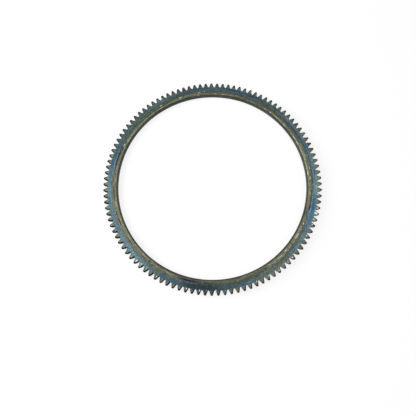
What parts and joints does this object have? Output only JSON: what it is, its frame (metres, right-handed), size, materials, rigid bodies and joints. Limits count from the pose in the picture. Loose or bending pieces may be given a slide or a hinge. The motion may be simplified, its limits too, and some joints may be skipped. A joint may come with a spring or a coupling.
{
  "type": "flywheel ring gear",
  "caption": "Flat steel ring with spur teeth round its rim, shrunk onto an engine flywheel so that the starter pinion can turn the engine.",
  "frame": {"origin": "centre of the bore on the back face, which the ring lies on", "axes": "+Z along the bore axis, out of the face that the starter pinion enters; +X through the middle of a tooth"},
  "size_m": [0.336, 0.336, 0.01],
  "materials": {
    "heat_tinted_steel": "satin, with blue and straw temper colours left by induction hardening of the teeth"
  },
  "bodies": {
    "root": {"ring_gear": "heat_tinted_steel"}
  },
  "joints": []
}
